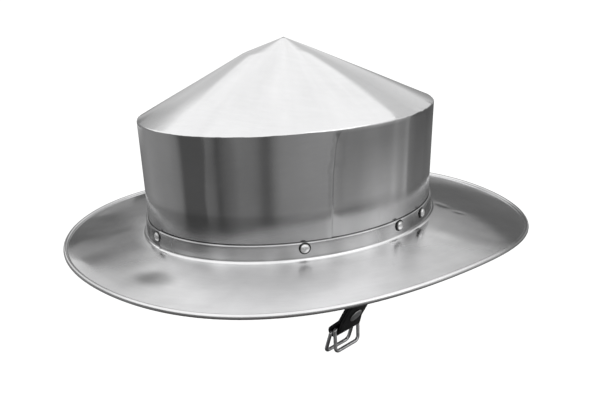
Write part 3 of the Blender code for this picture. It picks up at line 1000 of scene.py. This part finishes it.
# light of the grey screen close behind the hat at each height above the hat's opening:
# behind the wearer's left, behind the right and beside the right
screenLeft = (
    (0, 0.15), (0.03, 0.12), (0.066, 0.11), (0.08, 0.33), (0.1, 0.32), (0.115, 0.37), (0.13, 0.47),
    (0.145, 0.65), (0.158, 0.78), (0.2, 0.76), (0.26, 0.68), (0.33, 0.68),
)
screenRight = (
    (0, 0.08), (0.02, 0.1), (0.035, 0.22), (0.05, 0.26), (0.066, 0.22), (0.08, 0.32), (0.095, 0.5),
    (0.12, 0.55), (0.165, 0.62), (0.2, 0.7), (0.26, 0.66), (0.33, 0.72),
)
screenSide = (
    (0, 0.17), (0.045, 0.17), (0.06, 0.15), (0.078, 0.1), (0.088, 0.26), (0.094, 0.4), (0.1, 0.4),
    (0.108, 0.24), (0.128, 0.22), (0.145, 0.28), (0.16, 0.42), (0.2, 0.5), (0.25, 0.6), (0.3, 0.85),
    (0.33, 1.0),
)
# which of the three each compass angle takes: 0 the first, 0.5 the second and 1 the third
screenSides = ((-180, 0), (-138, 0), (-126, 0.5), (-99, 0.5), (-93, 1), (0, 1), (1, 0), (180, 0))
# height of the screen's lower edge at each compass angle
screenFoot = (
    (-180, 0.0), (-101, 0.0), (-98, 0.045), (-75, 0.045), (140, 0.034), (160, 0.034), (170, 0.0),
)
# share of that light left by the flags and screens round the hat, just below the horizon,
# by compass angle from the front of the hat towards the wearer's left
roomFlags = (
    (-180, 0.58), (-120, 0.7), (-102, 0.92), (-84, 1.17), (-47, 0.96), (-39, 0.8), (-36, 0.62),
    (-33, 0.34), (-10, 0.35), (-7, 0.62), (-1, 0.54), (4, 0.29), (10, 0.46), (20, 0.75), (31, 0.71),
    (36, 0.62), (41, 0.42), (44, 0.38), (49, 0.71), (54, 0.92), (75, 1.12), (88, 1.2), (92, 0.96),
    (110, 1.2), (122, 1.58), (139, 1.5), (141, 2.0), (143, 1.5), (151, 1.15), (154, 1.8), (156, 0.9),
    (162, 0.66),
)
# light from just above the horizon, by compass angle: the foot of the wall sees it in the brim
roomSill = (
    (-180, 0.25), (-165, 0.28), (-130, 0.3), (-100, 0.3), (-80, 0.22), (-53, 0.28), (-36, 0.13),
    (-19, 0.1), (-5, 0.22), (6, 0.2), (20, 0.19), (39, 0.17), (65, 0.27), (88, 0.28), (102, 0.55),
    (118, 0.72), (136, 0.75), (146, 0.55), (157, 0.28), (172, 0.26), (180, 0.25),
)


def addRamp(tree, stops, low, high):
    ramp = tree.nodes.new("ShaderNodeValToRGB")
    ramp.color_ramp.interpolation = "LINEAR"
    elements = ramp.color_ramp.elements
    while len(elements) > 1:
        elements.remove(elements[-1])
    for index, (place, value) in enumerate(stops):
        spot = (place - low) / (high - low)
        if index == 0:
            elements[0].position = spot
            element = elements[0]
        else:
            element = elements.new(spot)
        element.color = (value, value, value, 1)
    return ramp


def calculator(tree):
    # a short way to add math nodes to a node tree
    def calculate(operation, first, second=None):
        node = tree.nodes.new("ShaderNodeMath")
        node.operation = operation
        for socket, value in zip(node.inputs, (first, second)):
            if isinstance(value, bpy.types.NodeSocket):
                tree.links.new(value, socket)
            elif value is not None:
                socket.default_value = value
        return node.outputs[0]

    return calculate


def makeRoom(size):
    world = bpy.data.worlds.new("studioRoom")
    bpy.context.scene.world = world
    world.use_nodes = True
    tree = world.node_tree
    tree.nodes.clear()
    link = tree.links.new
    calculate = calculator(tree)
    direction = tree.nodes.new("ShaderNodeTexCoord").outputs["Generated"]
    split = tree.nodes.new("ShaderNodeSeparateXYZ")
    link(direction, split.inputs[0])
    x, y, z = split.outputs
    degrees = 180 / math.pi
    height = calculate("MULTIPLY", calculate("ARCSINE", z), degrees)
    compass = calculate("MULTIPLY", calculate("ARCTAN2", x, calculate("MULTIPLY", y, -1.0)), degrees)
    heightShare = calculate("DIVIDE", calculate("ADD", height, 90.0), 180.0)
    compassShare = calculate("DIVIDE", calculate("ADD", compass, 180.0), 360.0)

    def bandShare(middle, reach):
        # 1 in the inner half of a band of heights, and falling to 0 at its ends
        away = calculate("DIVIDE", calculate("ABSOLUTE", calculate("SUBTRACT", height, middle)), reach)
        share = calculate("SUBTRACT", 2.0, calculate("MULTIPLY", away, 2.0))
        return calculate("MINIMUM", calculate("MAXIMUM", share, 0.0), 1.0)

    tones = []
    for share, limit, table in (
            (heightShare, 90, roomFront), (heightShare, 90, roomBehind),
            (compassShare, 180, roomSides), (compassShare, 180, roomFlags), (compassShare, 180, roomSill)):
        ramp = addRamp(tree, table, -limit, limit)
        link(share, ramp.inputs["Fac"])
        tones.append(ramp.outputs["Color"])
    front, behind, sides, flags, sill = tones
    change = calculate("SUBTRACT", behind, front)
    heights = calculate("ADD", front, calculate("MULTIPLY", change, sides))
    # the flags stand between 39 degrees below the horizon and 13 above it
    flagShare = calculate("MULTIPLY", calculate("SUBTRACT", flags, 1.0), bandShare(*size["flagBand"]))
    roomLight = calculate("MULTIPLY", heights, calculate("ADD", flagShare, 1.0))
    # the band above the horizon takes its own light between 6 below and 18 above
    sillChange = calculate("SUBTRACT", sill, roomLight)
    roomLight = calculate("ADD", roomLight, calculate("MULTIPLY", sillChange, bandShare(*size["sillBand"])))
    # the paper behind the hat is plain white
    seen = tree.nodes.new("ShaderNodeLightPath").outputs["Is Camera Ray"]
    unseen = calculate("SUBTRACT", 1.0, seen)
    paper = calculate("MULTIPLY", seen, size["paperLight"])
    strength = calculate("ADD", calculate("MULTIPLY", roomLight, unseen), paper)
    background = tree.nodes.new("ShaderNodeBackground")
    background.inputs["Color"].default_value = (1, 1, 1, 1)
    link(strength, background.inputs["Strength"])
    output = tree.nodes.new("ShaderNodeOutputWorld")
    link(background.outputs[0], output.inputs["Surface"])


def makeFloor(size):
    clearSelection()
    bpy.ops.mesh.primitive_circle_add(
        vertices=96, radius=size["floorRadius"], fill_type="NGON", location=(0, 0, size["floorHeight"]))
    floor = bpy.context.object
    floor.name = "studioFloor"
    paper = Shading("palePaper")
    paper.give("Base Color", (0.99, 0.99, 0.99, 1))
    paper.give("Roughness", 0.9)
    length = paper.tree.nodes.new("ShaderNodeVectorMath")
    length.operation = "LENGTH"
    paper.put(length.inputs[0], paper.coordinates)
    paper.give("Alpha", paper.stretch(
        length.outputs["Value"], size["fadeStart"], size["fadeEnd"], 1.0, 0.0))
    floor.data.materials.append(paper.material)
    floor.visible_glossy = False


def makeScreen(size):
    # a grey screen curved round the back of the hat, out of the picture: only the steel sees it
    clearSelection()
    bpy.ops.mesh.primitive_cylinder_add(
        vertices=96, radius=size["screenRadius"], depth=1, end_fill_type="NOTHING")
    screen = bpy.context.object
    screen.name = "studioScreen"
    low, high = size["screenHeights"]
    editMode()
    bpy.ops.mesh.select_all(action="SELECT")
    bpy.ops.transform.resize(value=(1, 1, high - low), center_override=(0, 0, 0))
    bpy.ops.transform.translate(value=(0, 0, (high + low) / 2))
    bpy.ops.mesh.select_mode(type="FACE")
    bpy.ops.mesh.select_all(action="DESELECT")
    objectMode()
    first, last = size["screenGap"]
    for face in screen.data.polygons:
        face.select = first < math.degrees(math.atan2(face.center.x, -face.center.y)) < last
    editMode()
    bpy.ops.mesh.delete(type="FACE")
    objectMode()
    for vertex in screen.data.vertices:
        if vertex.co.z < (low + high) / 2:
            vertex.co.z = valueAt(screenFoot, math.degrees(math.atan2(vertex.co.x, -vertex.co.y)))
    cloth = bpy.data.materials.new("greyScreen")
    cloth.use_nodes = True
    tree = cloth.node_tree
    tree.nodes.clear()
    calculate = calculator(tree)
    place = tree.nodes.new("ShaderNodeTexCoord").outputs["Object"]
    split = tree.nodes.new("ShaderNodeSeparateXYZ")
    tree.links.new(place, split.inputs[0])
    x, y, z = split.outputs
    compass = calculate("ARCTAN2", x, calculate("MULTIPLY", y, -1.0))
    sides = addRamp(tree, screenSides, -180, 180)
    tree.links.new(calculate("ADD", calculate("DIVIDE", compass, 2 * math.pi), 0.5), sides.inputs["Fac"])
    choice = calculate("MULTIPLY", sides.outputs["Color"], 2.0)
    second = calculate("MAXIMUM", calculate("SUBTRACT", choice, 1.0), 0.0)
    shares = (calculate("MINIMUM", choice, 1.0), second)
    tones = []
    for table in (screenLeft, screenRight, screenSide):
        ramp = addRamp(tree, table, 0, 1)
        tree.links.new(z, ramp.inputs["Fac"])
        tones.append(ramp.outputs["Color"])
    light = tones[0]
    for share, tone in zip(shares, tones[1:]):
        light = calculate("ADD", light, calculate("MULTIPLY", calculate("SUBTRACT", tone, light), share))
    glow = tree.nodes.new("ShaderNodeEmission")
    glow.inputs["Color"].default_value = (1, 1, 1, 1)
    tree.links.new(light, glow.inputs["Strength"])
    output = tree.nodes.new("ShaderNodeOutputMaterial")
    tree.links.new(glow.outputs[0], output.inputs["Surface"])
    screen.data.materials.append(cloth)
    screen.visible_camera = False
    screen.visible_diffuse = False
    screen.visible_shadow = False


def addSoftLight(name, place, size, power, mirrored):
    clearSelection()
    bpy.ops.object.light_add(type="AREA", location=place)
    light = bpy.context.object
    light.name = name
    light.data.shape = "DISK"
    light.data.size = size
    light.data.energy = power
    light.visible_glossy = mirrored
    light.rotation_euler = (-Vector(place)).to_track_quat("-Z", "Y").to_euler()


def makeCamera(size):
    azimuth, elevation, roll = size["cameraAzimuth"], size["cameraElevation"], size["cameraRoll"]
    flat = math.cos(elevation)
    back = Vector((math.sin(azimuth) * flat, -math.cos(azimuth) * flat, math.sin(elevation)))
    level = Vector((math.cos(azimuth), math.sin(azimuth), 0))
    upright = back.cross(level)
    right = level * math.cos(roll) + upright * math.sin(roll)
    up = upright * math.cos(roll) - level * math.sin(roll)
    clearSelection()
    bpy.ops.object.camera_add()
    camera = bpy.context.object
    camera.name = "studioCamera"
    turn = Matrix((right, up, back)).transposed().to_4x4()
    camera.matrix_world = Matrix.Translation(back * size["cameraDistance"]) @ turn
    camera.data.sensor_width = 36
    camera.data.lens = size["lens"]
    camera.data.shift_x, camera.data.shift_y = size["shift"]
    camera.data.clip_start = 0.01
    bpy.context.scene.camera = camera


makeRoom(studio)
makeFloor(studio)
makeScreen(studio)
for lightName in ("keyLight", "fillLight"):
    addSoftLight(lightName, *studio[lightName])
makeCamera(studio)
bpy.context.scene.view_settings.view_transform = "Standard"
print("studio made")
